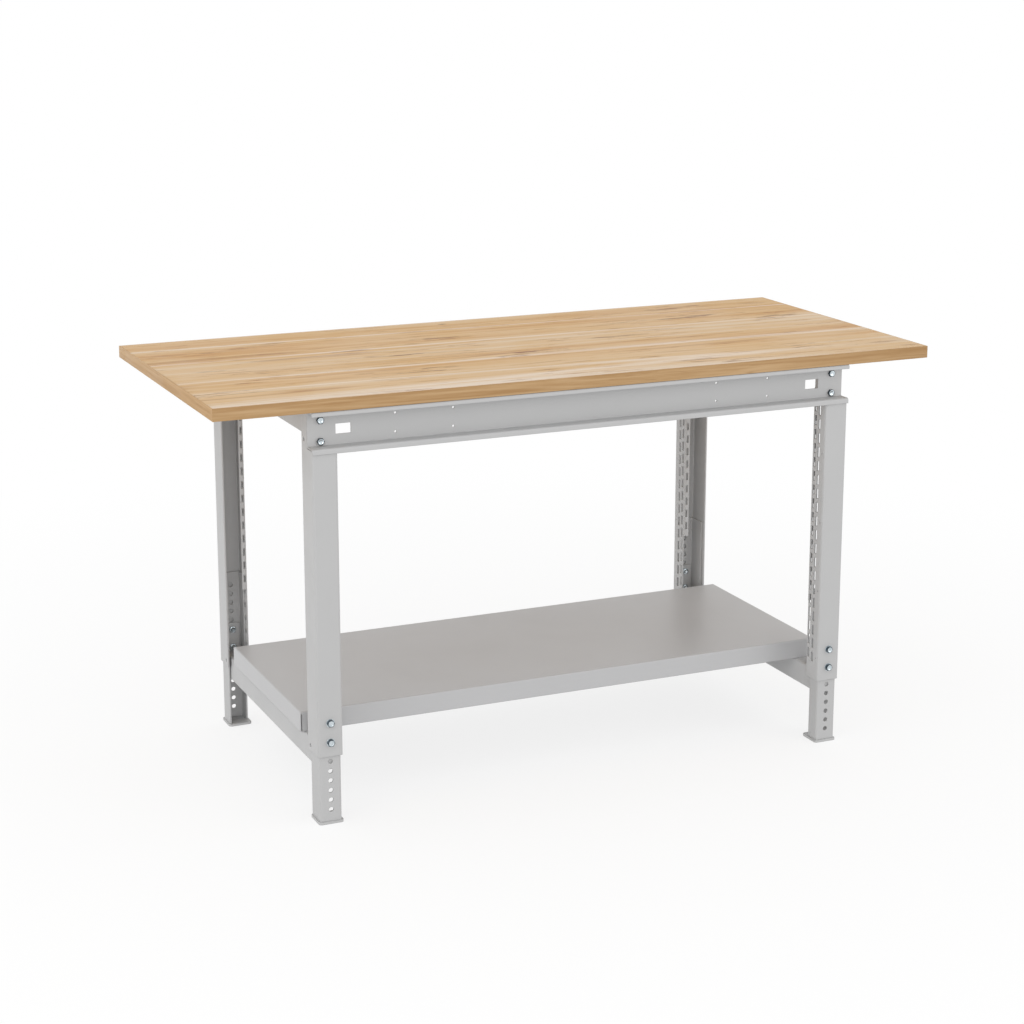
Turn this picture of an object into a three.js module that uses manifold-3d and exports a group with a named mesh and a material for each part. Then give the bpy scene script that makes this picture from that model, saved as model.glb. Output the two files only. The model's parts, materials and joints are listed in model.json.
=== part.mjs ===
// Assembly table: an edge-banded worktop on a bent-sheet steel frame with telescopic legs and a shelf.
// Millimetres, +Z up. The origin lies on the floor below the middle of the worktop.
// +X runs along the table, and the user stands at -Y.

import * as THREE from 'three';
import { mergeVertices } from 'three/addons/utils/BufferGeometryUtils.js';
import Module from 'manifold-3d';

const wasm = await Module();
wasm.setup();

// Worktop
const tableHeight = 852;
const topLength = 1560;
const topDepth = 692;
const topThickness = 25;
const bandThickness = 2;

// How far the worktop stands out over the leg frame, outside to outside
const endOverhang = 191.5;
const frontOverhang = 3.5;
const rearOverhang = 28.5;

// Upper legs: bent channels, open towards the inside of the table
const legWidth = 52;
const legSheet = 3;
const legBend = 2;
const plainFlange = 59;
const slottedFlange = 50;
const lipWidth = 12;
const lipStart = 168;
const legBelowBolt = 29;

// Slot rows for hooking in fittings: two on the slotted flange and one on its lip
const slotPitch = 30;
const slotStart = 49;
const nearSlot = { width: 8, height: 21, depth: 24, rise: 0 };
const farSlot = { width: 8, height: 21, depth: 39, rise: 6 };
const lipSlot = { width: 4.5, height: 17, across: 6, rise: -6 };
const tackHole = 3;
const tackDepth = 10;
const tackEvery = 5;
const sideHole = 8;
const sideHoleDepth = 46;
const sideHoleLow = 12;
const sideHoleHigh = 60;

// Inner legs: smaller channels that slide in the upper ones, with a row of setting holes
const slideGap = 0.4;
const footFlange = 48;
const lipClearance = 12.6;
const firstHole = 29;
const holePitch = 20;
const holeCount = 15;
const holeEndMargin = 29;
const lowerBoltIndex = 7;
const upperBoltIndex = 9;
const settingClearance = 2;

// Foot plates
const footThickness = 5;
const footMargin = 3;
const footCorner = 6;

// Cross rails: downward-open channels with end plates
const railSheet = 2.5;
const railBend = 1.5;
const lowRailHeight = 49;
const lowRailSideGap = 1.6;
const lowRailBelowBolt = 10;
const topRailHeight = 50;
const topRailInnerSide = 25;
const topRailSideGap = 0.5;
const plateThickness = 3;
const plateGap = 0.4;
const plateInset = 1.5;
const plateAboveBolt = 14;
const topPlateBelowBolt = 14;

// Long beams: a web set back between two forward flanges with turned-down lips
const beamSheet = 2.5;
const beamBend = 1.5;
const beamHeight = 82;
const beamSetback = 29;
const beamTopLip = 9;
const beamBottomLip = 11;
const beamSeatGap = 0.5;
const beamBoltDrop = 21.5;
const beamBoltClearance = 0.3;
const cutoutWidth = 31;
const cutoutHeight = 20;
const cutoutInset = 72.5;
const cutoutDrop = 41;
const pilotHole = 5;
const pilotInner = 290;
const pilotStep = 120;
const pilotDrop = 20;
const pilotRowGap = 37;

// Shelf tray
const shelfDepth = 450;
const shelfHeight = 41;
const shelfSheet = 1.5;
const shelfBend = 2;
const shelfReturn = 20;
const cornerSeam = 2;

// Fasteners
const boltDiameter = 8;
const boltClearance = 1;
const headAcross = 13;
const headHeight = 5.3;
const washerDiameter = 17;
const washerThickness = 1.6;
const nutHeight = 6.5;
const boltTail = 3;
const threadGap = 0.3;
const screwDiameter = 5;
const screwHead = 10;
const screwHeadHeight = 3;
const screwGap = 0.3;
const screwCover = 7;
const screwInset = 150;

// Facets
const bendSteps = 2;
const holeSides = 10;
const shankSides = 8;

// Leg frame, outside to outside
const frameLength = topLength - 2 * endOverhang;
const frameDepth = topDepth - frontOverhang - rearOverhang;

// Heights and planes that the pieces share
const underside = tableHeight - topThickness;
const lowerBolt = firstHole + lowerBoltIndex * holePitch;
const upperBolt = firstHole + upperBoltIndex * holePitch;
const legBottom = lowerBolt - legBelowBolt;
const innerLegTop = firstHole + (holeCount - 1) * holePitch + holeEndMargin;
const lowRailTop = lowerBolt - lowRailBelowBolt;
const topRailBottom = underside - topRailHeight;
const shelfTop = lowRailTop + shelfHeight;
const beamBottom = underside - beamHeight;
const beamFloor = beamBottom + beamBottomLip;
const notchFloor = beamFloor - beamSheet - beamBend;
const beamBolts = [underside - beamBoltDrop, beamFloor + beamBend + headAcross / 2 + beamBoltClearance];
const settingHole = boltDiameter + settingClearance;
const boltHole = boltDiameter + boltClearance;
const screwHole = screwDiameter + 2 * screwGap;

// Depths into a leg from the outside of its web
const innerLegFace = legSheet + slideGap;
const innerLegWidth = legWidth - 2 * innerLegFace;
const lowPlateFace = innerLegFace + legSheet + plateGap;
const beamLipFace = -beamSeatGap - beamSheet;
const beamWebFace = beamLipFace + beamSetback;
const topPlateFace = beamWebFace + beamSheet + plateGap;

// Ends and sides of the table: side -1 is left or front, +1 right or rear
const sides = [-1, 1];
const sideName = { '-1': { end: 'left', row: 'front' }, 1: { end: 'right', row: 'rear' } };
const legCentre = frameLength / 2 - legWidth / 2;
const frontFace = frontOverhang - topDepth / 2;
const webFace = { '-1': frontFace, 1: frontFace + frameDepth };
const frameMiddle = frontFace + frameDepth / 2;

const greyPaint = new THREE.MeshStandardMaterial({ color: 0xbcbcbc, roughness: 0.5, metalness: 0 });
const shelfPaint = new THREE.MeshStandardMaterial({ color: 0xb6b4b2, roughness: 0.4, metalness: 0 });
const oakDecor = new THREE.MeshStandardMaterial({ color: 0xd2ab78, roughness: 0.55, metalness: 0 });
const oakBand = new THREE.MeshStandardMaterial({ color: 0xb98d57, roughness: 0.55, metalness: 0 });
const zincPlate = new THREE.MeshStandardMaterial({ color: 0xc9cfd2, roughness: 0.25, metalness: 1 });

const table = new THREE.Group();

function toSolid(geometry) {
  const bare = geometry.clone();
  bare.deleteAttribute('normal');
  bare.deleteAttribute('uv');
  const merged = mergeVertices(bare, 1e-4);
  const mesh = new wasm.Mesh({
    numProp: 3,
    vertProperties: new Float32Array(merged.attributes.position.array),
    triVerts: new Uint32Array(merged.index.array),
  });
  return new wasm.Manifold(mesh);
}

function toGeometry(solid) {
  const mesh = solid.getMesh();
  const geometry = new THREE.BufferGeometry();
  geometry.setAttribute('position', new THREE.BufferAttribute(new Float32Array(mesh.vertProperties), 3));
  geometry.setIndex(new THREE.BufferAttribute(new Uint32Array(mesh.triVerts), 1));
  const faceted = geometry.toNonIndexed();
  faceted.computeVertexNormals();
  return faceted;
}

function joined(solids) {
  return solids.reduce((whole, solid) => whole.add(solid));
}

function addMesh(parent, name, geometry, material) {
  const mesh = new THREE.Mesh(geometry, material);
  mesh.name = name;
  parent.add(mesh);
  return mesh;
}

// A block between two corners, given in any order
function block(x0, x1, y0, y1, z0, z1) {
  const geometry = new THREE.BoxGeometry(Math.abs(x1 - x0), Math.abs(y1 - y0), Math.abs(z1 - z0));
  return geometry.translate((x0 + x1) / 2, (y0 + y1) / 2, (z0 + z1) / 2);
}

// A round bar along one axis, centred on a point
function bar(axis, diameter, length, centre, sidesRound = holeSides) {
  const geometry = new THREE.CylinderGeometry(diameter / 2, diameter / 2, length, sidesRound);
  if (axis === 'x') geometry.rotateZ(Math.PI / 2);
  if (axis === 'z') geometry.rotateX(Math.PI / 2);
  return geometry.translate(...centre);
}

// Turns an extrusion along +Z into one along X or Y, with the section standing upright
const alongX = new THREE.Matrix4().makeBasis(
  new THREE.Vector3(0, 1, 0), new THREE.Vector3(0, 0, 1), new THREE.Vector3(1, 0, 0));
const alongY = new THREE.Matrix4().makeBasis(
  new THREE.Vector3(-1, 0, 0), new THREE.Vector3(0, 0, 1), new THREE.Vector3(0, 1, 0));

function extrude(shape, length) {
  return new THREE.ExtrudeGeometry(shape, { depth: length, bevelEnabled: false, curveSegments: bendSteps });
}

// The section of a folded sheet: its middle line, rounded at the corners, with half the sheet on each side
function foldedSection(corners, sheet, insideBend) {
  const points = corners.map(([x, y]) => new THREE.Vector2(x, y));
  const radius = insideBend + sheet / 2;
  const line = [];
  points.forEach((corner, i) => {
    const before = points[i - 1];
    const after = points[i + 1];
    if (!before || !after) {
      const other = before ?? after;
      const along = before ? corner.clone().sub(other) : other.clone().sub(corner);
      line.push({ at: corner, along: along.normalize() });
      return;
    }
    const entering = corner.clone().sub(before).normalize();
    const leaving = after.clone().sub(corner).normalize();
    const turn = Math.atan2(entering.cross(leaving), entering.dot(leaving));
    const start = corner.clone().addScaledVector(entering, -radius * Math.tan(Math.abs(turn) / 2));
    const towards = new THREE.Vector2(-entering.y, entering.x).multiplyScalar(Math.sign(turn));
    const centre = start.clone().addScaledVector(towards, radius);
    for (let step = 0; step <= bendSteps; step++) {
      const angle = (turn * step) / bendSteps;
      const along = entering.clone().rotateAround(new THREE.Vector2(), angle);
      line.push({ at: start.clone().rotateAround(centre, angle), along });
    }
  });
  const edge = (side) => line.map(({ at, along }) =>
    at.clone().add(new THREE.Vector2(-along.y, along.x).multiplyScalar((side * sheet) / 2)));
  return new THREE.Shape([...edge(1), ...edge(-1).reverse()]);
}

// Worktop: the board with a band glued round its four edges
function buildWorktop() {
  const halfLength = topLength / 2 - bandThickness;
  const halfDepth = topDepth / 2 - bandThickness;
  let board = toSolid(block(-halfLength, halfLength, -halfDepth, halfDepth, underside, tableHeight));
  const depth = topThickness - screwCover + screwGap;
  for (const { x, y } of screwPlaces()) {
    board = board.subtract(toSolid(bar('z', screwHole, 2 * depth, [x, y, underside])));
  }
  addMesh(table, 'worktop', toGeometry(board), oakDecor);
  for (const side of sides) {
    const outerY = (side * topDepth) / 2;
    const innerY = side * halfDepth;
    addMesh(table, `edge_band_${sideName[side].row}`,
      block(-topLength / 2, topLength / 2, innerY, outerY, underside, tableHeight), oakBand);
    const outerX = (side * topLength) / 2;
    const innerX = side * halfLength;
    addMesh(table, `edge_band_${sideName[side].end}`,
      block(innerX, outerX, -halfDepth, halfDepth, underside, tableHeight), oakBand);
  }
}

function placeLabel(end, row) {
  return `${sideName[row].row}_${sideName[end].end}`;
}

function screwPlaces() {
  return sides.flatMap((end) => sides.map((row) => (
    { label: placeLabel(end, row), x: end * legCentre, y: webFace[row] - row * screwInset })));
}

// A group at one leg: its pieces are drawn across, from the leg's centre line, and in depth, into the table
function legPlace(end, row) {
  const place = new THREE.Group();
  place.position.set(end * legCentre, webFace[row], 0);
  table.add(place);
  const point = (across, depth) => [end * across, -row * depth];
  const slab = (across0, across1, depth0, depth1, z0, z1) =>
    block(end * across0, end * across1, -row * depth0, -row * depth1, z0, z1);
  const hole = (diameter, across, depth, z, length, sidesRound = holeSides) =>
    bar('y', diameter, length, [end * across, -row * depth, z], sidesRound);
  return { place, point, slab, hole, label: placeLabel(end, row), row };
}

// Upper leg: a plain flange outside, a slotted flange with a lip inside, cut back at the top round the beam
function buildUpperLeg(leg) {
  const half = legWidth / 2;
  const skin = legSheet / 2;
  const section = foldedSection([
    leg.point(half - skin, plainFlange),
    leg.point(half - skin, skin),
    leg.point(skin - half, skin),
    leg.point(skin - half, slottedFlange - skin),
    leg.point(lipWidth - half, slottedFlange - skin),
  ], legSheet, legBend);
  const channel = toSolid(extrude(section, underside - legBottom).translate(0, 0, legBottom));

  const past = legSheet;
  const bend = legSheet + legBend;
  const lipBottom = legBottom + lipStart;
  const lipTop = topRailBottom - legSheet;
  const lipEnds = [[legBottom - past, lipBottom], [lipTop, underside + past]];
  const cuts = [
    leg.slab(-half - past, half + past, -past, topPlateFace, notchFloor, underside + past),
    ...lipEnds.map(([z0, z1]) =>
      leg.slab(-half - past, lipWidth - half + past, slottedFlange - bend, slottedFlange + past, z0, z1)),
    ...[lowerBolt, upperBolt].map((z) => leg.hole(boltHole, 0, skin, z, legSheet + past)),
    ...[legBottom + sideHoleLow, underside - sideHoleHigh].map((z) => {
      const [x, y] = leg.point(half - skin, sideHoleDepth);
      return bar('x', sideHole, legSheet + past, [x, y, z]);
    }),
  ];

  const firstSlot = legBottom + slotStart;
  const slotCount = Math.floor((lipTop - firstSlot) / slotPitch);
  for (let i = 0; i < slotCount; i++) {
    const z = firstSlot + i * slotPitch;
    for (const slot of [nearSlot, farSlot]) {
      const middle = z + slot.rise;
      cuts.push(leg.slab(-half - past, legSheet - half + past / 2, slot.depth - slot.width / 2,
        slot.depth + slot.width / 2, middle - slot.height / 2, middle + slot.height / 2));
    }
    const lipMiddle = z + lipSlot.rise;
    if (lipMiddle - lipSlot.height > lipBottom) {
      const across = lipSlot.across - half;
      cuts.push(leg.slab(across - lipSlot.width / 2, across + lipSlot.width / 2, slottedFlange - bend,
        slottedFlange + past, lipMiddle - lipSlot.height / 2, lipMiddle + lipSlot.height / 2));
    }
    if (i % tackEvery === 0) {
      const [x, y] = leg.point(skin - half, tackDepth);
      cuts.push(bar('x', tackHole, legSheet + past, [x, y, z], shankSides));
    }
  }
  const body = cuts.reduce((solid, cut) => solid.subtract(toSolid(cut)), channel);
  addMesh(leg.place, `upper_leg_${leg.label}`, toGeometry(body), greyPaint);
}

// Inner leg: a channel that slides between the upper leg and the rail's end plate, on a foot plate
function buildInnerLeg(leg) {
  const half = innerLegWidth / 2;
  const skin = legSheet / 2;
  const shortFlange = slottedFlange - legSheet - lipClearance;
  const section = foldedSection([
    leg.point(half - skin, innerLegFace + footFlange),
    leg.point(half - skin, innerLegFace + skin),
    leg.point(skin - half, innerLegFace + skin),
    leg.point(skin - half, shortFlange),
  ], legSheet, legBend);
  const length = innerLegTop - footThickness;
  let channel = toSolid(extrude(section, length).translate(0, 0, footThickness));
  for (let i = 0; i < holeCount; i++) {
    const z = firstHole + i * holePitch;
    channel = channel.subtract(toSolid(leg.hole(settingHole, 0, innerLegFace + skin, z, 2 * legSheet)));
  }
  addMesh(leg.place, `inner_leg_${leg.label}`, toGeometry(channel), greyPaint);

  const footHalf = half + footMargin;
  const front = innerLegFace - footMargin;
  const back = innerLegFace + footFlange + footMargin;
  addMesh(leg.place, `foot_plate_${leg.label}`,
    extrude(roundedRectangle(leg, footHalf, front, back, footCorner), footThickness), greyPaint);
}

function roundedRectangle(leg, half, front, back, radius) {
  const shape = new THREE.Shape();
  const [x0, y0] = leg.point(-half, front);
  const [x1, y1] = leg.point(half, back);
  const left = Math.min(x0, x1);
  const right = Math.max(x0, x1);
  const low = Math.min(y0, y1);
  const high = Math.max(y0, y1);
  shape.absarc(right - radius, low + radius, radius, -Math.PI / 2, 0);
  shape.absarc(right - radius, high - radius, radius, 0, Math.PI / 2);
  shape.absarc(left + radius, high - radius, radius, Math.PI / 2, Math.PI);
  shape.absarc(left + radius, low + radius, radius, Math.PI, 1.5 * Math.PI);
  return shape;
}

// Hexagon bolt along the depth of a leg, with a washer face under its head, and its nut
function buildBolt(leg, name, seat, grip, z, washer) {
  const sign = -leg.row;
  const washerHeight = washer ? washerThickness : 0;
  const corner = headAcross / 2 / Math.cos(Math.PI / 6);
  const headMiddle = seat - washerHeight - headHeight / 2;
  const tail = grip + nutHeight + boltTail;
  const head = new THREE.CylinderGeometry(corner, corner, headHeight, 6).rotateY(Math.PI / 6);
  const pieces = [
    head.translate(0, sign * headMiddle, z),
    leg.hole(boltDiameter, 0, seat + (tail - washerHeight) / 2, z, tail + washerHeight, shankSides),
  ];
  if (washer) pieces.push(leg.hole(washerDiameter, 0, seat - washerThickness / 2, z, washerThickness));
  addMesh(leg.place, `${name}_bolt_${leg.label}`, toGeometry(joined(pieces.map(toSolid))), zincPlate);

  const nutMiddle = seat + grip + nutHeight / 2;
  const hexagon = new THREE.CylinderGeometry(corner, corner, nutHeight, 6).rotateY(Math.PI / 6);
  const nut = toSolid(hexagon.translate(0, sign * nutMiddle, z));
  const bore = leg.hole(boltDiameter + 2 * threadGap, 0, nutMiddle, z, 2 * nutHeight, shankSides);
  addMesh(leg.place, `${name}_nut_${leg.label}`, toGeometry(nut.subtract(toSolid(bore))), zincPlate);
}

function buildFasteners(leg) {
  const legGrip = lowPlateFace + plateThickness;
  buildBolt(leg, 'leg_low', 0, legGrip, lowerBolt, true);
  buildBolt(leg, 'leg_high', 0, legGrip, upperBolt, true);
  const beamGrip = topPlateFace + plateThickness - beamWebFace;
  buildBolt(leg, 'beam_high', beamWebFace, beamGrip, beamBolts[0], false);
  buildBolt(leg, 'beam_low', beamWebFace, beamGrip, beamBolts[1], false);
}

// A downward-open channel along Y with a drilled plate across each end
function buildRail(name, end, { width, top, outerSide, innerSide }, plate) {
  const place = new THREE.Group();
  place.position.set(end * legCentre, 0, 0);
  table.add(place);
  const skin = railSheet / 2;
  const outer = -end * (width / 2 - skin);
  const section = foldedSection([
    [outer, top - outerSide],
    [outer, top - skin],
    [-outer, top - skin],
    [-outer, top - innerSide],
  ], railSheet, railBend);
  const start = webFace[-1] + plate.face + plateThickness / 2;
  const finish = webFace[1] - plate.face - plateThickness / 2;
  const channel = extrude(section, finish - start).applyMatrix4(alongY).translate(0, start, 0);
  const plates = sides.map((row) => {
    const outside = webFace[row] - row * plate.face;
    return block(-plate.half, plate.half, outside, outside - row * plateThickness, plate.bottom, plate.top);
  });
  let rail = joined([channel, ...plates].map(toSolid));
  for (const z of plate.holes) {
    for (const row of sides) {
      const middle = webFace[row] - row * (plate.face + plateThickness / 2);
      rail = rail.subtract(toSolid(bar('y', boltHole, 2 * plateThickness, [0, middle, z])));
    }
  }
  for (const y of plate.screws) {
    rail = rail.subtract(toSolid(bar('z', screwHole, 2 * railSheet, [0, y, top - skin])));
  }
  addMesh(place, `${name}_${sideName[end].end}`, toGeometry(rail), greyPaint);
}

function buildRails(end) {
  const innerRoom = innerLegWidth - 2 * legSheet;
  const lowWidth = innerRoom - 2 * lowRailSideGap;
  const lowRail = { width: lowWidth, top: lowRailTop, outerSide: lowRailHeight, innerSide: lowRailHeight };
  buildRail('lower_rail', end, lowRail, {
    face: lowPlateFace,
    half: lowWidth / 2 - plateInset,
    bottom: lowRailTop - lowRailHeight + plateInset,
    top: upperBolt + plateAboveBolt,
    holes: [lowerBolt, upperBolt],
    screws: [],
  });
  const topWidth = legWidth - 2 * legSheet - 2 * topRailSideGap;
  const topRail = { width: topWidth, top: underside, outerSide: topRailHeight, innerSide: topRailInnerSide };
  buildRail('top_rail', end, topRail, {
    face: topPlateFace,
    half: topWidth / 2 - plateInset,
    bottom: beamBolts[1] - topPlateBelowBolt,
    top: underside - plateInset,
    holes: beamBolts,
    screws: sides.map((row) => webFace[row] - row * screwInset),
  });
}

function buildScrews() {
  const seat = underside - railSheet;
  const shaft = railSheet + topThickness - screwCover;
  const shaftMiddle = seat + (shaft - screwHeadHeight) / 2;
  for (const { label, x, y } of screwPlaces()) {
    const screw = joined([
      bar('z', screwHead, screwHeadHeight, [x, y, seat - screwHeadHeight / 2]),
      bar('z', screwDiameter, shaft + screwHeadHeight, [x, y, shaftMiddle], shankSides),
    ].map(toSolid));
    addMesh(table, `worktop_screw_${label}`, toGeometry(screw), zincPlate);
  }
}

// Beam along the front or the rear, with its flanges pointing out of the table
function buildBeam(row) {
  const skin = beamSheet / 2;
  const face = (depth) => webFace[row] - row * depth;
  const section = foldedSection([
    [face(beamLipFace + skin), underside - beamTopLip],
    [face(beamLipFace + skin), underside - skin],
    [face(beamWebFace + skin), underside - skin],
    [face(beamWebFace + skin), beamFloor - skin],
    [face(beamLipFace + skin), beamFloor - skin],
    [face(beamLipFace + skin), beamBottom],
  ], beamSheet, beamBend);
  let beam = toSolid(extrude(section, frameLength).applyMatrix4(alongX).translate(-frameLength / 2, 0, 0));
  const webMiddle = face(beamWebFace + skin);
  const reach = 2 * beamSheet;
  for (const end of sides) {
    const cutX = end * (frameLength / 2 - cutoutInset);
    const cutZ = underside - cutoutDrop;
    const cuts = [
      block(cutX - cutoutWidth / 2, cutX + cutoutWidth / 2, webMiddle - reach, webMiddle + reach,
        cutZ - cutoutHeight / 2, cutZ + cutoutHeight / 2),
      ...beamBolts.map((z) => bar('y', boltHole, reach, [end * legCentre, webMiddle, z])),
    ];
    for (const x of [pilotInner, pilotInner + pilotStep]) {
      for (const drop of [pilotDrop, pilotDrop + pilotRowGap]) {
        cuts.push(bar('y', pilotHole, reach, [end * x, webMiddle, underside - drop], shankSides));
      }
    }
    beam = cuts.reduce((solid, cut) => solid.subtract(toSolid(cut)), beam);
  }
  addMesh(table, `beam_${sideName[row].row}`, toGeometry(beam), greyPaint);
}

// Shelf: a tray folded down on four sides and back under, open at the corner seams, laid on the lower rails
function buildShelf() {
  const tray = (inset, bottom) => {
    const bend = shelfBend + shelfSheet - inset;
    const top = shelfTop - inset;
    const lengthwise = extrude(roundTopped(frameLength / 2 - inset, bottom, top, bend), shelfDepth)
      .applyMatrix4(alongY).translate(0, -shelfDepth / 2, 0);
    const across = extrude(roundTopped(shelfDepth / 2 - inset, bottom, top, bend), frameLength)
      .applyMatrix4(alongX).translate(-frameLength / 2, 0, 0);
    return toSolid(lengthwise).intersect(toSolid(across));
  };
  const mouthX = frameLength / 2 - shelfReturn;
  const mouthY = shelfDepth / 2 - shelfReturn;
  const mouth = block(-mouthX, mouthX, -mouthY, mouthY, lowRailTop - shelfSheet, lowRailTop + 2 * shelfSheet);
  const hollow = tray(shelfSheet, lowRailTop + shelfSheet);
  const seamOuter = frameLength / 2 - shelfSheet;
  const seamDeep = shelfDepth / 2 - 2 * shelfSheet;
  const seamTop = shelfTop - shelfBend - 2 * shelfSheet;
  const seams = sides.flatMap((end) => sides.map((row) => block(
    end * (seamOuter - cornerSeam), end * seamOuter, row * seamDeep, row * (seamDeep + 3 * shelfSheet),
    lowRailTop + shelfSheet, seamTop)));
  const shelf = [mouth, ...seams].reduce((solid, cut) => solid.subtract(toSolid(cut)),
    tray(0, lowRailTop).subtract(hollow));
  addMesh(table, 'shelf', toGeometry(shelf), shelfPaint).position.y = frameMiddle;
}

function roundTopped(half, bottom, top, radius) {
  const shape = new THREE.Shape();
  shape.moveTo(-half, bottom);
  shape.lineTo(half, bottom);
  shape.absarc(half - radius, top - radius, radius, 0, Math.PI / 2);
  shape.absarc(radius - half, top - radius, radius, Math.PI / 2, Math.PI);
  shape.lineTo(-half, bottom);
  return shape;
}

buildWorktop();
for (const end of sides) {
  for (const row of sides) {
    const leg = legPlace(end, row);
    buildUpperLeg(leg);
    buildInnerLeg(leg);
    buildFasteners(leg);
  }
  buildRails(end);
}
sides.forEach(buildBeam);
buildShelf();
buildScrews();

export default table;
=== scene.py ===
import json
import math
import bmesh
import bpy
import numpy as np
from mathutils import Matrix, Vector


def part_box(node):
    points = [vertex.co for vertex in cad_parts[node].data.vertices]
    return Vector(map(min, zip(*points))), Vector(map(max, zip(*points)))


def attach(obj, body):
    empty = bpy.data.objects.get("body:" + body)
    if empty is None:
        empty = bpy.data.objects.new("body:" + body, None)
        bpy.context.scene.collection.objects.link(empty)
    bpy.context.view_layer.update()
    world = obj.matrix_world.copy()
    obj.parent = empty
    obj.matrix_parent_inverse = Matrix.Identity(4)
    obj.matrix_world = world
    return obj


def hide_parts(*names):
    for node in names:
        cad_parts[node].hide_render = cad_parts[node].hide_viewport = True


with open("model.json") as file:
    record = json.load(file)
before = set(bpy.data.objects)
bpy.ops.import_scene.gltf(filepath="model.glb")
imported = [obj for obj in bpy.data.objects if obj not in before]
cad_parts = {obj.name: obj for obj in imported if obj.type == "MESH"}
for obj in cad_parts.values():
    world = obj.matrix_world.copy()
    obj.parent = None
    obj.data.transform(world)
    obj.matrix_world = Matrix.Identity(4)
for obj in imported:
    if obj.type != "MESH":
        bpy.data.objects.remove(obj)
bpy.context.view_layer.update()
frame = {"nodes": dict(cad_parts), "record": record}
nodes = frame["nodes"]
print("frame loaded:", len(nodes), "nodes")

rows = {"front": 1, "rear": -1}  # which way a bolt points into the table, along Y
places = [(row, end) for row in rows for end in ("left", "right")]


def paint(red, green, blue):
    # a colour as it looks on screen, 0 to 255, turned into linear light by the screen's own curve
    tone = np.array([red, green, blue]) / 255
    linear = np.where(tone > 0.04045, ((tone + 0.055) / 1.055) ** 2.4, tone / 12.92)
    return (*linear.tolist(), 1.0)


# camera: the photograph's side, 24 degrees round to the left, looking a little down
cameraSet = {
    "place": (-1.895, -4.234, 1.718),
    "turn": 23.82,
    "dip": 13.26,
    "lens": 78.56,
    "sensor": 36.0,
    "shift": -0.06,
}


def makeCamera():
    data = bpy.data.cameras.new("camera")
    data.lens = cameraSet["lens"]
    data.sensor_width = cameraSet["sensor"]
    data.shift_y = cameraSet["shift"]
    camera = bpy.data.objects.new("camera", data)
    camera.location = cameraSet["place"]
    camera.rotation_euler = (math.radians(90 - cameraSet["dip"]), 0, math.radians(-cameraSet["turn"]))
    bpy.context.scene.collection.objects.link(camera)
    bpy.context.scene.camera = camera


# node helpers
def feed(tree, socket, value):
    # a socket takes either a link or a plain value
    if isinstance(value, bpy.types.NodeSocket):
        tree.links.new(value, socket)
    else:
        socket.default_value = value


def addNode(tree, kind, feeds=None, **settings):
    node = tree.nodes.new(kind)
    for key, value in settings.items():
        setattr(node, key, value)
    for key, value in (feeds or {}).items():
        feed(tree, node.inputs[key], value)
    return node


def sums(tree, operation, first, second=0.0, third=0.0, clamp=False):
    feeds = {0: first, 1: second, 2: third}
    return addNode(tree, "ShaderNodeMath", feeds, operation=operation, use_clamp=clamp).outputs[0]


def times(tree, first, second):
    return sums(tree, "MULTIPLY", first, second)


def span(tree, value, low, high, toLow=0.0, toHigh=1.0, smooth=True):
    # carries low..high over to toLow..toHigh and holds it there outside
    kind = "SMOOTHSTEP" if smooth else "LINEAR"
    feeds = {"Value": value, "From Min": low, "From Max": high, "To Min": toLow, "To Max": toHigh}
    return addNode(tree, "ShaderNodeMapRange", feeds, interpolation_type=kind).outputs["Result"]


def blendColours(tree, share, first, second):
    # a Mix node keeps its colours in inputs 6 and 7 and output 2
    node = addNode(tree, "ShaderNodeMix", data_type="RGBA")
    for socket, value in ((node.inputs["Factor"], share), (node.inputs[6], first), (node.inputs[7], second)):
        feed(tree, socket, value)
    return node.outputs[2]


def stretched(tree, vector, scale):
    # a pattern's own space: long along the grain where the scale is small
    return addNode(tree, "ShaderNodeMapping", {"Vector": vector, "Scale": scale}).outputs["Vector"]


def noise(tree, vector, scale, detail=2.0, rough=0.5, warp=0.0):
    feeds = {"Vector": vector, "Scale": scale, "Detail": detail, "Roughness": rough, "Distortion": warp}
    return addNode(tree, "ShaderNodeTexNoise", feeds).outputs["Fac"]


def cloud(tree, vector, look, scale=1.0):
    # a noise from a dictionary: stretched first where the look says so
    if "stretch" in look:
        vector = stretched(tree, vector, look["stretch"])
    return noise(tree, vector, scale, look.get("detail", 2.0), look.get("rough", 0.5), look.get("warp", 0.0))


def mask(tree, vector, look, scale=1.0):
    # the same noise, cut to 0 and 1 at the ends of the look's span
    return span(tree, cloud(tree, vector, look, scale), *look["span"])


def newGroup(name, takes, gives):
    group = bpy.data.node_groups.new(name, "ShaderNodeTree")
    group.interface.new_socket("Vector", in_out="INPUT", socket_type="NodeSocketVector")
    for label, value in takes.items():
        socket = group.interface.new_socket(label, in_out="INPUT", socket_type="NodeSocketFloat")
        socket.default_value = value
    for label in gives:
        group.interface.new_socket(label, in_out="OUTPUT", socket_type="NodeSocketFloat")
    return group, group.nodes.new("NodeGroupInput").outputs, group.nodes.new("NodeGroupOutput").inputs


def useGroup(tree, group, feeds):
    node = tree.nodes.new("ShaderNodeGroup")
    node.node_tree = group
    for key, value in feeds.items():
        feed(tree, node.inputs[key], value)
    return node.outputs


# rub on folds and cut edges: where the rounded normal leaves the face, broken up by a slow noise
rubSet = {
    "samples": 4,
    "facing": (0.995, 0.86),
    "broken": {"detail": 4.0, "rough": 0.65, "span": (0.35, 0.7)},
    "brokenSize": 55.0,
}


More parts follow.
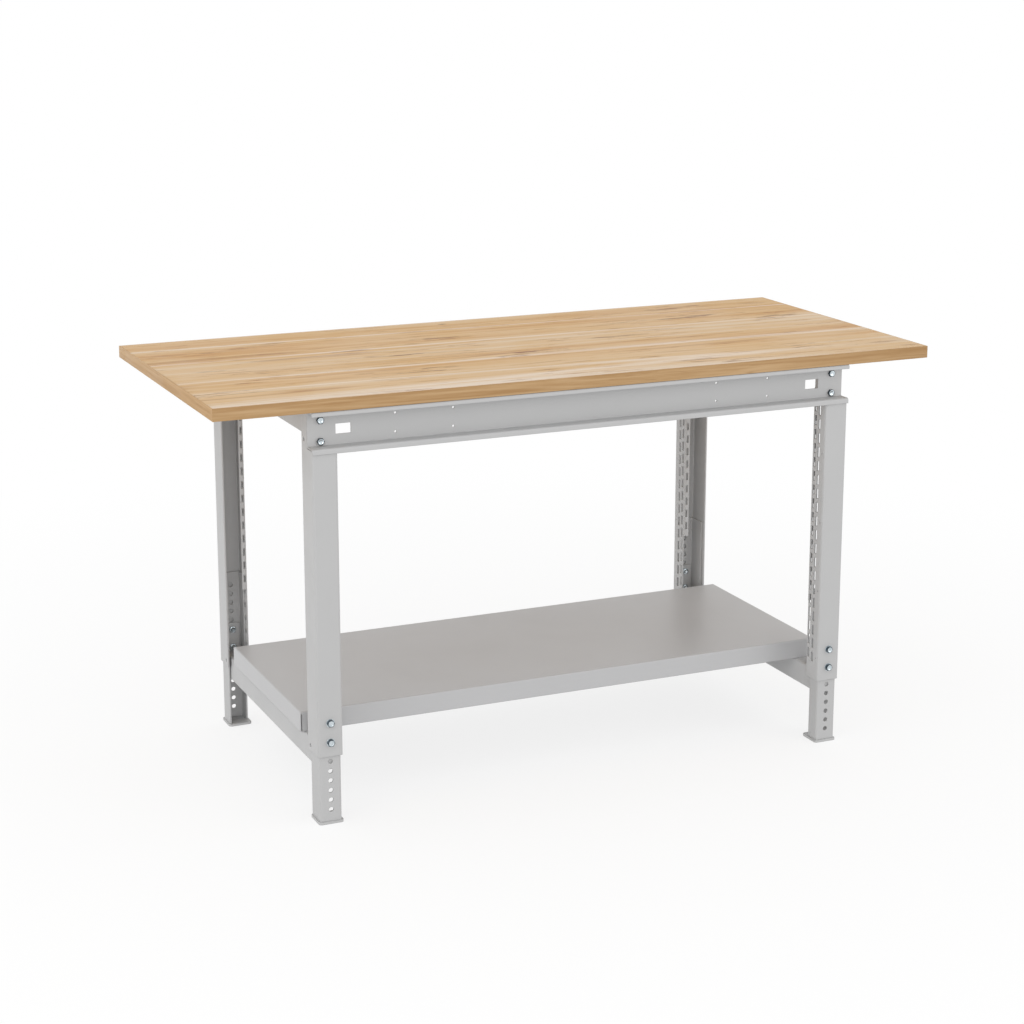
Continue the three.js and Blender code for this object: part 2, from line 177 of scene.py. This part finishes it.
def makeEdgeRub():
    group, take, give = newGroup("edgeRub", {"Radius": 0.002, "Amount": 1.0}, ["Mask"])
    rounded = addNode(group, "ShaderNodeBevel", {"Radius": take["Radius"]}, samples=rubSet["samples"])
    straight = group.nodes.new("ShaderNodeNewGeometry")
    feeds = {0: rounded.outputs["Normal"], 1: straight.outputs["Normal"]}
    facing = addNode(group, "ShaderNodeVectorMath", feeds, operation="DOT_PRODUCT").outputs["Value"]
    edge = span(group, facing, *rubSet["facing"])
    broken = mask(group, take["Vector"], rubSet["broken"], rubSet["brokenSize"])
    group.links.new(times(group, times(group, edge, broken), take["Amount"]), give["Mask"])
    return group


# the skin of a stoved powder coat: low waves with a fine grit on them, and a faint cloudiness in the tone
skinSet = {
    "wave": {"detail": 2.0},
    "grit": {"detail": 1.0},
    "gritShare": 0.35,
    "cloud": {"detail": 3.0, "rough": 0.55},
    "cloudSize": 6.5,
    "speck": {"detail": 2.0, "rough": 0.7, "span": (0.68, 0.78)},
    "speckSize": 900.0,
}


def makeCoatSkin():
    group, take, give = newGroup("coatSkin", {"Wave": 420.0, "Grit": 1700.0}, ["Height", "Cloud", "Speck"])
    wave = cloud(group, take["Vector"], skinSet["wave"], take["Wave"])
    grit = cloud(group, take["Vector"], skinSet["grit"], take["Grit"])
    group.links.new(sums(group, "MULTIPLY_ADD", grit, skinSet["gritShare"], wave), give["Height"])
    group.links.new(cloud(group, take["Vector"], skinSet["cloud"], skinSet["cloudSize"]), give["Cloud"])
    group.links.new(mask(group, take["Vector"], skinSet["speck"], skinSet["speckSize"]), give["Speck"])
    return group


# dust and hand marks: soft patches that dull the surface
handlingSet = {"detail": 5.0, "rough": 0.6, "warp": 0.4, "span": (0.38, 0.68)}


def makeHandling():
    group, take, give = newGroup("handling", {"Size": 9.0}, ["Patch"])
    group.links.new(mask(group, take["Vector"], handlingSet, take["Size"]), give["Patch"])
    return group


# wood cut along the grain, everything long in X: strips of one tone, streaks in them, pale and dark lines
# where a slow noise passes its middle, short dark dashes, flames in patches and a few small knots
grainSet = {
    "sway": {"stretch": (0.9, 4.0, 4.0)},
    "swayReach": 0.018,
    "strips": {"stretch": (0.03, 1.0, 1.0), "detail": 1.0, "span": (0.36, 0.64)},
    "stripShare": 0.45,
    "streaks": {"stretch": (0.034, 1.0, 1.0), "detail": 4.0, "rough": 0.68, "span": (0.34, 0.66)},
    "streakShare": 0.55,
    "fine": {"stretch": (3.5, 240.0, 240.0), "detail": 4.0, "rough": 0.65},
    "fineShare": 0.5,
    "pale": {"stretch": (0.03, 1.0, 1.0), "detail": 1.0},
    "paleSize": 0.55,
    "paleWidth": 0.04,
    "paleBroken": (0.3, 0.55),
    "dark": {"stretch": (0.04, 1.0, 1.0), "detail": 1.0},
    "darkWidth": 0.02,
    "darkPlaces": {"stretch": (2.3, 13.0, 13.0), "span": (0.48, 0.58)},
    "dash": {"stretch": (8.0, 165.0, 165.0), "detail": 3.0, "rough": 0.6, "warp": 0.2, "span": (0.625, 0.67)},
    "patch": {"stretch": (4.6, 15.0, 15.0), "detail": 1.0, "span": (0.6, 0.67)},
    "licks": {"stretch": (9.0, 140.0, 140.0), "detail": 3.0, "rough": 0.65, "warp": 0.3, "span": (0.53, 0.6)},
    "knotCells": (0.36, 1.0, 1.0),
    "knotSpacing": 11.0,
    "knotRadius": (0.06, 0.02),
    "knotChance": (0.6, 0.64),
    "pores": {"stretch": (20.0, 900.0, 900.0), "detail": 1.0, "span": (0.62, 0.74)},
    "poreDepth": -0.6,
}


def roundZero(tree, value):
    # a noise of 0 to 1 set round zero
    return sums(tree, "SUBTRACT", value, 0.5)


def contour(tree, vector, look, scale, width):
    # a thin line wherever a slow noise passes its middle value
    level = roundZero(tree, cloud(tree, vector, look, scale))
    away = addNode(tree, "ShaderNodeMath", {0: level}, operation="ABSOLUTE").outputs[0]
    return span(tree, away, width, 0.0)


def makeGrain():
    group, take, give = newGroup(
        "grain",
        {"Strips": 9.0, "Streaks": 34.0, "Lines": 11.0},
        ["Tone", "Pale", "Line", "Dash", "Flame", "Knot", "Height"],
    )
    size, place, lines = grainSet, take["Vector"], take["Lines"]
    split = group.nodes.new("ShaderNodeSeparateXYZ")
    group.links.new(place, split.inputs[0])
    sway = roundZero(group, cloud(group, place, size["sway"]))
    across = sums(group, "MULTIPLY_ADD", sway, size["swayReach"], split.outputs["Y"])
    swayed = {"X": split.outputs["X"], "Y": across, "Z": split.outputs["Z"]}
    fibre = addNode(group, "ShaderNodeCombineXYZ", swayed).outputs[0]

    # tone: strips and streaks added up, with the fine fibre on top
    strips = mask(group, fibre, size["strips"], take["Strips"])
    streaks = mask(group, fibre, size["streaks"], take["Streaks"])
    fine = cloud(group, fibre, size["fine"])
    tone = sums(group, "MULTIPLY_ADD", streaks, size["streakShare"], times(group, strips, size["stripShare"]))
    tone = sums(group, "MULTIPLY_ADD", roundZero(group, fine), size["fineShare"], tone, clamp=True)
    group.links.new(tone, give["Tone"])

    # long lines: pale ones broken by the fibre, dark ones only in places
    pale = contour(group, fibre, size["pale"], times(group, lines, size["paleSize"]), size["paleWidth"])
    group.links.new(times(group, pale, span(group, fine, *size["paleBroken"])), give["Pale"])
    dark = contour(group, fibre, size["dark"], lines, size["darkWidth"])
    group.links.new(times(group, dark, mask(group, place, size["darkPlaces"])), give["Line"])

    # short marks: dashes everywhere, flames in patches, knots in a few cells
    group.links.new(mask(group, fibre, size["dash"]), give["Dash"])
    flame = times(group, mask(group, place, size["patch"]), mask(group, fibre, size["licks"]))
    group.links.new(flame, give["Flame"])
    cellFeeds = {"Vector": stretched(group, fibre, size["knotCells"]), "Scale": size["knotSpacing"]}
    cells = addNode(group, "ShaderNodeTexVoronoi", cellFeeds).outputs
    chance = addNode(group, "ShaderNodeSeparateColor", {0: cells["Color"]}).outputs[0]
    spot = span(group, cells["Distance"], *size["knotRadius"])
    group.links.new(times(group, spot, span(group, chance, *size["knotChance"])), give["Knot"])

    pores = mask(group, fibre, size["pores"])
    group.links.new(sums(group, "MULTIPLY_ADD", pores, size["poreDepth"], fine), give["Height"])
    return group


edgeRub = makeEdgeRub()
coatSkin = makeCoatSkin()
handling = makeHandling()
grain = makeGrain()
print("shader groups made")


def newMaterial(name):
    material = bpy.data.materials.new(name)
    material.use_nodes = True
    tree = material.node_tree
    tree.nodes.clear()
    output = tree.nodes.new("ShaderNodeOutputMaterial")
    shader = tree.nodes.new("ShaderNodeBsdfPrincipled")
    tree.links.new(shader.outputs[0], output.inputs["Surface"])
    place = tree.nodes.new("ShaderNodeTexCoord").outputs["Object"]
    return material, tree, shader, place


normalSamples = 6  # rays for a rounded normal


def bump(tree, shader, height, look):
    feeds = {"Strength": look["bumpStrength"], "Distance": look["bumpDepth"], "Height": height}
    if "rounding" in look:
        rounded = addNode(tree, "ShaderNodeBevel", {"Radius": look["rounding"]}, samples=normalSamples)
        feeds["Normal"] = rounded.outputs["Normal"]
    tree.links.new(addNode(tree, "ShaderNodeBump", feeds).outputs["Normal"], shader.inputs["Normal"])


# powder coat: cloudy tone, darker specks, paler rubbed folds, roughness that follows the handling
coatSet = {
    "rubAmount": 0.55,
    "rubGloss": -0.1,
    "patchSize": 7.0,
    "speckShare": 0.35,
    "specular": 0.45,
    "bumpStrength": 0.16,
    "bumpDepth": 0.00025,
}
frameCoat = {
    **coatSet,
    "tone": paint(190, 190, 190),
    "cloudTone": paint(186, 186, 186),
    "rubTone": paint(207, 207, 206),
    "speckTone": paint(178, 178, 178),
    "gloss": (0.40, 0.52),
    "rounding": 0.0022,
}
shelfCoat = {
    **coatSet,
    "tone": paint(191, 191, 192),
    "cloudTone": paint(186, 186, 187),
    "rubTone": paint(205, 204, 202),
    "speckTone": paint(180, 178, 176),
    "gloss": (0.35, 0.40),
    "rounding": 0.0025,
}


def makeCoat(name, look):
    material, tree, shader, place = newMaterial(name)
    skin = useGroup(tree, coatSkin, {"Vector": place})
    rubFeeds = {"Vector": place, "Radius": look["rounding"], "Amount": look["rubAmount"]}
    rub = useGroup(tree, edgeRub, rubFeeds)["Mask"]
    patch = useGroup(tree, handling, {"Vector": place, "Size": look["patchSize"]})["Patch"]
    base = blendColours(tree, skin["Cloud"], look["cloudTone"], look["tone"])
    base = blendColours(tree, times(tree, skin["Speck"], look["speckShare"]), base, look["speckTone"])
    base = blendColours(tree, rub, base, look["rubTone"])
    tree.links.new(base, shader.inputs["Base Color"])
    rough = span(tree, patch, 0.0, 1.0, *look["gloss"], smooth=False)
    tree.links.new(sums(tree, "MULTIPLY_ADD", rub, look["rubGloss"], rough), shader.inputs["Roughness"])
    shader.inputs["Specular IOR Level"].default_value = look["specular"]
    bump(tree, shader, skin["Height"], look)
    return material


# zinc plate: small crystal patches that change tone and gloss, with fine scratches from the spanner
zincSet = {
    "crystalSize": 700.0,
    "crystalShare": 0.5,
    "patchSize": 120.0,
    "patchShare": 0.4,
    "scratch": {"stretch": (2600.0, 300.0, 900.0)},
    "bumpStrength": 0.12,
    "bumpDepth": 0.00012,
}
faceZinc = {**zincSet, "tone": paint(216, 224, 228), "dull": paint(166, 178, 184), "gloss": (0.12, 0.28)}
# a dark copy of the zinc: painted shade and painted dark reflection on a bolt head's chamfer, flats and
# underside and in a nut's bore
shadedZinc = {**zincSet, "tone": paint(66, 76, 84), "dull": paint(30, 37, 43), "gloss": (0.2, 0.38)}


def makeZinc(name, look):
    material, tree, shader, place = newMaterial(name)
    crystals = addNode(tree, "ShaderNodeTexVoronoi", {"Vector": place, "Scale": look["crystalSize"]})
    chance = addNode(tree, "ShaderNodeSeparateColor", {0: crystals.outputs["Color"]}).outputs[0]
    patch = useGroup(tree, handling, {"Vector": place, "Size": look["patchSize"]})["Patch"]
    dusty = times(tree, patch, look["patchShare"])
    shade = sums(tree, "MULTIPLY_ADD", chance, look["crystalShare"], dusty, clamp=True)
    tree.links.new(blendColours(tree, shade, look["tone"], look["dull"]), shader.inputs["Base Color"])
    tree.links.new(span(tree, shade, 0.0, 1.0, *look["gloss"], smooth=False), shader.inputs["Roughness"])
    shader.inputs["Metallic"].default_value = 1.0
    bump(tree, shader, cloud(tree, place, look["scratch"]), look)
    return material


# wood: a tone ramp along the grain's tone, then each kind of mark in its own tone and share
woodSet = {
    "place": (0.31, 0.07, 0.0),
    "rubRadius": 0.0012,
    "rubAmount": 0.5,
    "patchSize": 5.0,
    "dashGloss": 0.08,
    "specular": 0.22,
    "bumpStrength": 0.1,
    "bumpDepth": 0.0003,
    "rounding": 0.0008,
}
boardLook = {
    **woodSet,
    "tones": {
        0.0: paint(200, 153, 98),
        0.25: paint(210, 171, 120),
        0.5: paint(214, 179, 132),
        0.75: paint(216, 184, 143),
        1.0: paint(220, 197, 167),
    },
    "marks": {
        "Pale": (paint(230, 213, 194), 0.9),
        "Line": (paint(160, 106, 58), 0.55),
        "Dash": (paint(152, 96, 50), 0.7),
        "Flame": (paint(122, 70, 32), 0.78),
        "Knot": (paint(94, 54, 28), 0.88),
    },
    "rubTone": paint(228, 210, 190),
    "sizes": {"Strips": 9.0, "Streaks": 34.0, "Lines": 11.0},
    "gloss": (0.46, 0.6),
}
bandLook = {
    **woodSet,
    "tones": {0.0: paint(164, 126, 82), 0.5: paint(178, 142, 99), 1.0: paint(191, 157, 115)},
    "marks": {
        "Pale": (paint(200, 168, 128), 0.5),
        "Line": (paint(150, 112, 72), 0.4),
        "Dash": (paint(158, 120, 78), 0.35),
    },
    "rubTone": paint(214, 184, 146),
    "sizes": {"Strips": 40.0, "Streaks": 150.0, "Lines": 70.0},
    "gloss": (0.44, 0.58),
}
endBandLook = {
    **bandLook,
    "tones": {0.0: paint(180, 143, 98), 0.5: paint(193, 157, 113), 1.0: paint(203, 170, 127)},
}


def makeWood(name, look, turn=0.0):
    # the pattern is turned about Z for the bands at the ends, so that the grain runs along the piece
    material, tree, shader, place = newMaterial(name)
    turnFeeds = {"Vector": place, "Rotation": (0, 0, turn), "Location": look["place"]}
    along = addNode(tree, "ShaderNodeMapping", turnFeeds).outputs["Vector"]
    wood = useGroup(tree, grain, {"Vector": along, **look["sizes"]})
    ramp = addNode(tree, "ShaderNodeValToRGB", {"Fac": wood["Tone"]})
    stops = ramp.color_ramp.elements
    while len(stops) < len(look["tones"]):
        stops.new(0.5)
    for stop, (spot, tone) in zip(stops, look["tones"].items()):
        stop.position, stop.color = spot, tone
    base = ramp.outputs["Color"]
    for mark, (tone, share) in look["marks"].items():
        base = blendColours(tree, times(tree, wood[mark], share), base, tone)
    rubFeeds = {"Vector": place, "Radius": look["rubRadius"], "Amount": look["rubAmount"]}
    rub = useGroup(tree, edgeRub, rubFeeds)["Mask"]
    tree.links.new(blendColours(tree, rub, base, look["rubTone"]), shader.inputs["Base Color"])
    patch = useGroup(tree, handling, {"Vector": place, "Size": look["patchSize"]})["Patch"]
    rough = span(tree, patch, 0.0, 1.0, *look["gloss"], smooth=False)
    dashed = sums(tree, "MULTIPLY_ADD", wood["Dash"], look["dashGloss"], rough)
    tree.links.new(dashed, shader.inputs["Roughness"])
    shader.inputs["Specular IOR Level"].default_value = look["specular"]
    bump(tree, shader, wood["Height"], look)
    return material


frameMaterial = makeCoat("frameCoat", frameCoat)
shelfMaterial = makeCoat("shelfCoat", shelfCoat)
zincMaterial = makeZinc("zincPlate", faceZinc)
# the dark zinc copy carries painted shade for the bolts and nuts
shadedZincMaterial = makeZinc("zincPaintedShade", shadedZinc)
boardMaterial = makeWood("boardWood", boardLook)
bandMaterial = makeWood("bandWood", bandLook)
endBandMaterial = makeWood("endBandWood", endBandLook, math.pi / 2)
print("materials made")

slotMaterial = {
    "oak_board": boardMaterial,
    "oak_band": bandMaterial,
    "grey_paint": frameMaterial,
    "shelf_paint": shelfMaterial,
    "zinc": zincMaterial,
}


def dressNodes():
    for part in frame["record"]["subparts"]:
        target = nodes[part["node"]]
        target.data.materials.clear()
        target.data.materials.append(slotMaterial[part["material_slot"]])


dressNodes()
print("frame dressed")


# meshes from grids of points: rows along a profile or a length, columns round it
def gridFaces(rowCount, columnCount, start):
    # each cell joins a point to the next one round and the next row, and the last column meets the first
    row, column = np.meshgrid(np.arange(rowCount - 1), np.arange(columnCount), indexing="ij")
    following = (column + 1) % columnCount
    here, below = row * columnCount, (row + 1) * columnCount
    cell = np.stack([here + column, here + following, below + following, below + column], axis=-1)
    return cell.reshape(-1, 4) + start


mergeReach = 1e-6  # points nearer than this become one


def tidyMesh(mesh):
    # merges the points at poles and seams, then turns the faces outwards
    work = bmesh.new()
    work.from_mesh(mesh)
    bmesh.ops.remove_doubles(work, verts=work.verts, dist=mergeReach)
    bmesh.ops.recalc_face_normals(work, faces=work.faces)
    work.to_mesh(mesh)
    work.free()


def meshPiece(name, grids, materials, rowShading=None, smoothAngle=35.0):
    # puts the grids into one mesh and gives each row of cells a material slot, which on bolts and nuts picks
    # plain zinc or zinc with painted shade
    points = np.concatenate([grid.reshape(-1, 3) for grid in grids])
    starts = np.cumsum([0] + [grid.shape[0] * grid.shape[1] for grid in grids])
    faces = [gridFaces(grid.shape[0], grid.shape[1], start) for grid, start in zip(grids, starts)]
    mesh = bpy.data.meshes.new(name)
    mesh.from_pydata(points.tolist(), [], np.concatenate(faces).tolist())
    for material in materials:
        mesh.materials.append(material)
    if rowShading:
        shading = [np.repeat(rowShades, grid.shape[1]) for rowShades, grid in zip(rowShading, grids)]
        mesh.polygons.foreach_set("material_index", np.concatenate(shading).astype(np.int32))
    tidyMesh(mesh)
    mesh.shade_smooth()
    mesh.set_sharp_from_angle(angle=math.radians(smoothAngle))
    piece = bpy.data.objects.new(name, mesh)
    bpy.context.scene.collection.objects.link(piece)
    return piece


# hexagon bolts and nuts, sizes in millimetres
boltSet = {
    "across": 13.0,
    "crown": 0.88,  # the flat face's share of the width across
    "head": 5.3,
    "dish": 0.25,
    "dishRims": (0.72, 0.8),  # shares of the flat face
    "shank": 8.0,
    "sunk": 1.0,  # how far the shank starts inside the head
    "pitch": 1.25,
    "thread": 0.55,
    "plain": 2.4,  # plain shank under the head
    "runOut": 0.1,
    "lastTurn": 0.6,
    "tip": 0.9,
    "threadColumns": 24,
    "threadSteps": 6,
    "washer": 17.0,
    "washerThick": 1.6,
    "washerBore": 8.4,
    "washerRound": 0.35,
    "washerBurr": 0.1,
}
nutSet = {"across": 13.0, "crown": 0.95, "bore": 8.6, "lead": 0.45}
hexSet = {"columns": 72, "chamfer": 30.0}
bright, dark = 0, 1  # material slot for each row: dark is painted shade, on a bolt head's sides and in a nut's bore


def hexRadius(angle, across):
    # distance from the axis to the hexagon's side at an angle
    return across / 2 / np.cos((angle + math.pi / 6) % (math.pi / 3) - math.pi / 6)


def hexSection(size):
    # the angles round the axis, the hexagon's radius at each, the face's radius and the chamfer's depth,
    # which grows from the face to the corners at the chamfer's angle
    angle = np.linspace(0, 2 * math.pi, hexSet["columns"], endpoint=False)
    side = hexRadius(angle, size["across"])
    crown = size["across"] / 2 * size["crown"]
    chamfer = (side - crown) * math.tan(math.radians(hexSet["chamfer"]))
    return angle, side, crown, chamfer


def turned(stations, angle):
    # a profile turned about Y: each station is a depth and a radius, either one number or one for each angle
    depth = np.stack([np.broadcast_to(d, angle.shape) for d, _ in stations])
    radius = np.stack([np.broadcast_to(r, angle.shape) for _, r in stations])
    return np.stack([radius * np.sin(angle), depth, radius * np.cos(angle)], axis=-1)


def headGrid(size):
    # a shallow dish, the flat face, the chamfer, the six flats and the underside; the last three carry
    # painted shade
    angle, side, crown, chamfer = hexSection(size)
    dish, (inner, outer), head = size["dish"], size["dishRims"], size["head"]
    stations = [(dish, 0.0), (dish, crown * inner), (0.0, crown * outer), (0.0, crown), (chamfer, side)]
    stations += [(head, side), (head, 0.0)]
    return turned(stations, angle), [bright] * 3 + [dark] * 3


def washerGrid(size):
    # a ring with a rounded outer edge, from the head's underside on
    top, rim, bore = size["head"], size["washer"] / 2, size["washerBore"] / 2
    bottom, soft, burr = top + size["washerThick"], size["washerRound"], size["washerBurr"]
    angle = np.linspace(0, 2 * math.pi, hexSet["columns"], endpoint=False)
    stations = [(top, bore), (top, rim - soft), (top + soft, rim), (bottom - burr, rim)]
    stations += [(bottom, rim - burr), (bottom, bore), (top, bore)]
    return turned(stations, angle), [bright] * 6


def shankGrid(size, seat, length):
    # the thread: a triangle wave along the shank that moves on by one pitch for each turn
    angle = np.linspace(0, 2 * math.pi, size["threadColumns"], endpoint=False)
    start, plainEnd, radius = size["head"] - size["sunk"], seat + size["plain"], size["shank"] / 2
    step = size["pitch"] / size["threadSteps"]
    depth = np.arange(plainEnd + size["runOut"], length - size["lastTurn"], step)
    turns = depth[:, None] / size["pitch"] - angle / (2 * math.pi)
    ridge = radius - size["thread"] * np.abs(turns % 1.0 - 0.5) * 2
    stations = [(start, 0.0), (start, radius), (plainEnd, radius), *zip(depth, ridge)]
    stations += [(length, radius - size["tip"]), (length, 0.0)]
    return turned(stations, angle), [bright] * (len(stations) - 1)


def boltGrids(length, washer):
    seat = boltSet["head"] + (boltSet["washerThick"] if washer else 0.0)
    parts = [headGrid(boltSet), shankGrid(boltSet, seat, length)]
    if washer:
        parts.insert(1, washerGrid(boltSet))
    return zip(*parts)


def nutGrids(height):
    # a hexagon ring, chamfered outside at both faces and led in at the bore; the bore and its lead-ins carry
    # painted shade
    angle, side, crown, chamfer = hexSection(nutSet)
    bore, lead = nutSet["bore"] / 2, nutSet["lead"]
    stations = [(lead, bore), (0.0, bore + lead), (0.0, crown), (chamfer, side), (height - chamfer, side)]
    stations += [(height, crown), (height, bore + lead), (height - lead, bore), (lead, bore)]
    return [turned(stations, angle)], [[dark] + [bright] * 5 + [dark] * 2]


def setInPlace(grids, node, row):
    # from the bolt's own millimetres, depth along Y, to the table: the depth starts at the node's outer side
    low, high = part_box(node)
    way = rows[row]
    outer = low.y if way > 0 else high.y
    middle = np.array([(low.x + high.x) / 2, outer, (low.z + high.z) / 2])
    return [grid * np.array([way, way, 1.0]) / 1000 + middle for grid in grids]


def makeFasteners():
    for row, end in places:
        for joint in ("leg_low", "leg_high", "beam_high", "beam_low"):
            for kind in ("bolt", "nut"):
                node = f"{joint}_{kind}_{row}_{end}"
                low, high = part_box(node)
                length = (high.y - low.y) * 1000
                isLeg = joint.startswith("leg")
                grids, shading = boltGrids(length, isLeg) if kind == "bolt" else nutGrids(length)
                grids = setInPlace(grids, node, row)
                # the second material is the dark zinc copy, painted shade on the rows marked dark
                piece = meshPiece(f"{node}_turned", grids, [zincMaterial, shadedZincMaterial], shading)
                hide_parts(node)
                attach(piece, "frame")


makeFasteners()
print("bolts and nuts made")

# edge bands: strips with their edges eased, in metres
bandSet = {"ease": 0.0009, "steps": 4, "smoothAngle": 50.0}


def easedStrip(low, high, along):
    # a rectangle with quarter-round corners carried along one axis; towards both ends its corners draw in
    # along a quarter circle, and a point in the middle closes each end
    ease, steps = bandSet["ease"], bandSet["steps"]
    across = [axis for axis in range(3) if axis != along]
    middle, half = (low + high) / 2, (high - low) / 2
    turn = np.linspace(0, math.pi / 2, steps + 1)
    corner = np.concatenate([turn + quarter * math.pi / 2 for quarter in range(4)])
    reach = np.repeat([[1, 1], [-1, 1], [-1, -1], [1, -1]], steps + 1, axis=0)
    grown, ends = ease * np.sin(turn), ease * (1 - np.cos(turn))
    rounding = np.concatenate([[0.0], grown, grown[::-1], [0.0]])[:, None]
    spots = np.concatenate([[low[along]], low[along] + ends, high[along] - ends[::-1], [high[along]]])
    inside = np.ones((len(spots), 1))
    inside[[0, -1]] = 0.0
    grid = np.zeros((len(spots), len(corner), 3))
    for axis, side, curve in zip(across, reach.T, (np.cos(corner), np.sin(corner))):
        rim = (half[axis] - ease) * side + rounding * curve
        grid[:, :, axis] = middle[axis] + rim * inside
    grid[:, :, along] = spots[:, None]
    return grid


def makeBands():
    for side in ("front", "rear", "left", "right"):
        node = f"edge_band_{side}"
        low, high = (np.array(corner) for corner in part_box(node))
        isLong = side in rows
        grid = easedStrip(low, high, 0 if isLong else 1)
        material = bandMaterial if isLong else endBandMaterial
        piece = meshPiece(f"{node}_eased", [grid], [material], smoothAngle=bandSet["smoothAngle"])
        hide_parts(node)
        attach(piece, "frame")


makeBands()
print("edge bands made")

# floor, light and world
floorSet = {
    "reach": 40.0,
    "bounce": 0.45,  # the floor's tone as the table is lit by it, and the share of glow in it
    "glow": 0.42,
    "shown": 0.98,  # its tone as it is seen, lifted towards white, and fully white away from the table
    "lift": 0.76,
    "shadowNear": 1.0,
    "shadowFar": 2.6,
}
lampSet = {
    "key": {"place": (-3.8, -2.2, 3.2), "size": 3.2, "power": 16.0},
    "front": {"place": (-1.6, -5.2, 1.3), "size": 3.0, "power": 46.0},
    "left": {"place": (-4.6, 0.4, 0.9), "size": 3.0, "power": 30.0},
    "fill": {"place": (3.0, -3.6, 1.4), "size": 3.0, "power": 22.0},
}
lampAim = (0.0, 0.0, 0.45)
worldSet = {"light": 0.86, "shown": 1.0}
white = (1.0, 1.0, 1.0, 1.0)


def seenRays(tree):
    rays = tree.nodes.new("ShaderNodeLightPath").outputs
    seen = sums(tree, "MAXIMUM", rays["Is Camera Ray"], rays["Is Glossy Ray"])
    return sums(tree, "MAXIMUM", seen, rays["Is Transmission Ray"])


def makeFloor():
    reach, bounce, shown = floorSet["reach"], floorSet["bounce"], floorSet["shown"]
    mesh = bpy.data.meshes.new("floor")
    corners = [(-reach, -reach, 0), (reach, -reach, 0), (reach, reach, 0), (-reach, reach, 0)]
    mesh.from_pydata(corners, [], [(0, 1, 2, 3)])
    floor = bpy.data.objects.new("floor", mesh)
    bpy.context.scene.collection.objects.link(floor)
    material = bpy.data.materials.new("paleFloor")
    material.use_nodes = True
    tree = material.node_tree
    tree.nodes.clear()
    output = tree.nodes.new("ShaderNodeOutputMaterial")
    place = tree.nodes.new("ShaderNodeTexCoord").outputs["Object"]
    seen = seenRays(tree)
    away = addNode(tree, "ShaderNodeVectorMath", {0: place}, operation="LENGTH").outputs["Value"]
    lifted = span(tree, away, floorSet["shadowNear"], floorSet["shadowFar"], floorSet["lift"], 1.0)
    glow = times(tree, sums(tree, "SUBTRACT", 1.0, seen), floorSet["glow"])
    share = sums(tree, "ADD", times(tree, lifted, seen), glow)
    tone = blendColours(tree, seen, (bounce, bounce, bounce, 1), (shown, shown, shown, 1))
    matt = addNode(tree, "ShaderNodeBsdfDiffuse", {"Color": tone}).outputs[0]
    shining = addNode(tree, "ShaderNodeEmission", {"Color": white, "Strength": 1.0}).outputs[0]
    mixed = addNode(tree, "ShaderNodeMixShader", {0: share, 1: matt, 2: shining}).outputs[0]
    tree.links.new(mixed, output.inputs["Surface"])
    mesh.materials.append(material)


def makeLamps():
    for name, lamp in lampSet.items():
        data = bpy.data.lights.new(name, "AREA")
        data.shape = "DISK"
        data.size = lamp["size"]
        data.energy = lamp["power"]
        light = bpy.data.objects.new(name, data)
        light.location = lamp["place"]
        aim = np.array(lampAim) - np.array(lamp["place"])
        level = math.hypot(aim[0], aim[1])
        light.rotation_euler = (math.atan2(level, -aim[2]), 0, math.atan2(-aim[0], aim[1]))
        bpy.context.scene.collection.objects.link(light)


def makeWorld():
    world = bpy.data.worlds.new("studio")
    bpy.context.scene.world = world
    world.use_nodes = True
    tree = world.node_tree
    tree.nodes.clear()
    output = tree.nodes.new("ShaderNodeOutputWorld")
    strength = span(tree, seenRays(tree), 0.0, 1.0, worldSet["light"], worldSet["shown"], smooth=False)
    sky = addNode(tree, "ShaderNodeBackground", {"Color": white, "Strength": strength}).outputs[0]
    tree.links.new(sky, output.inputs["Surface"])


makeCamera()
makeFloor()
makeLamps()
makeWorld()
bpy.context.scene.view_settings.view_transform = "Standard"
print("stage made")
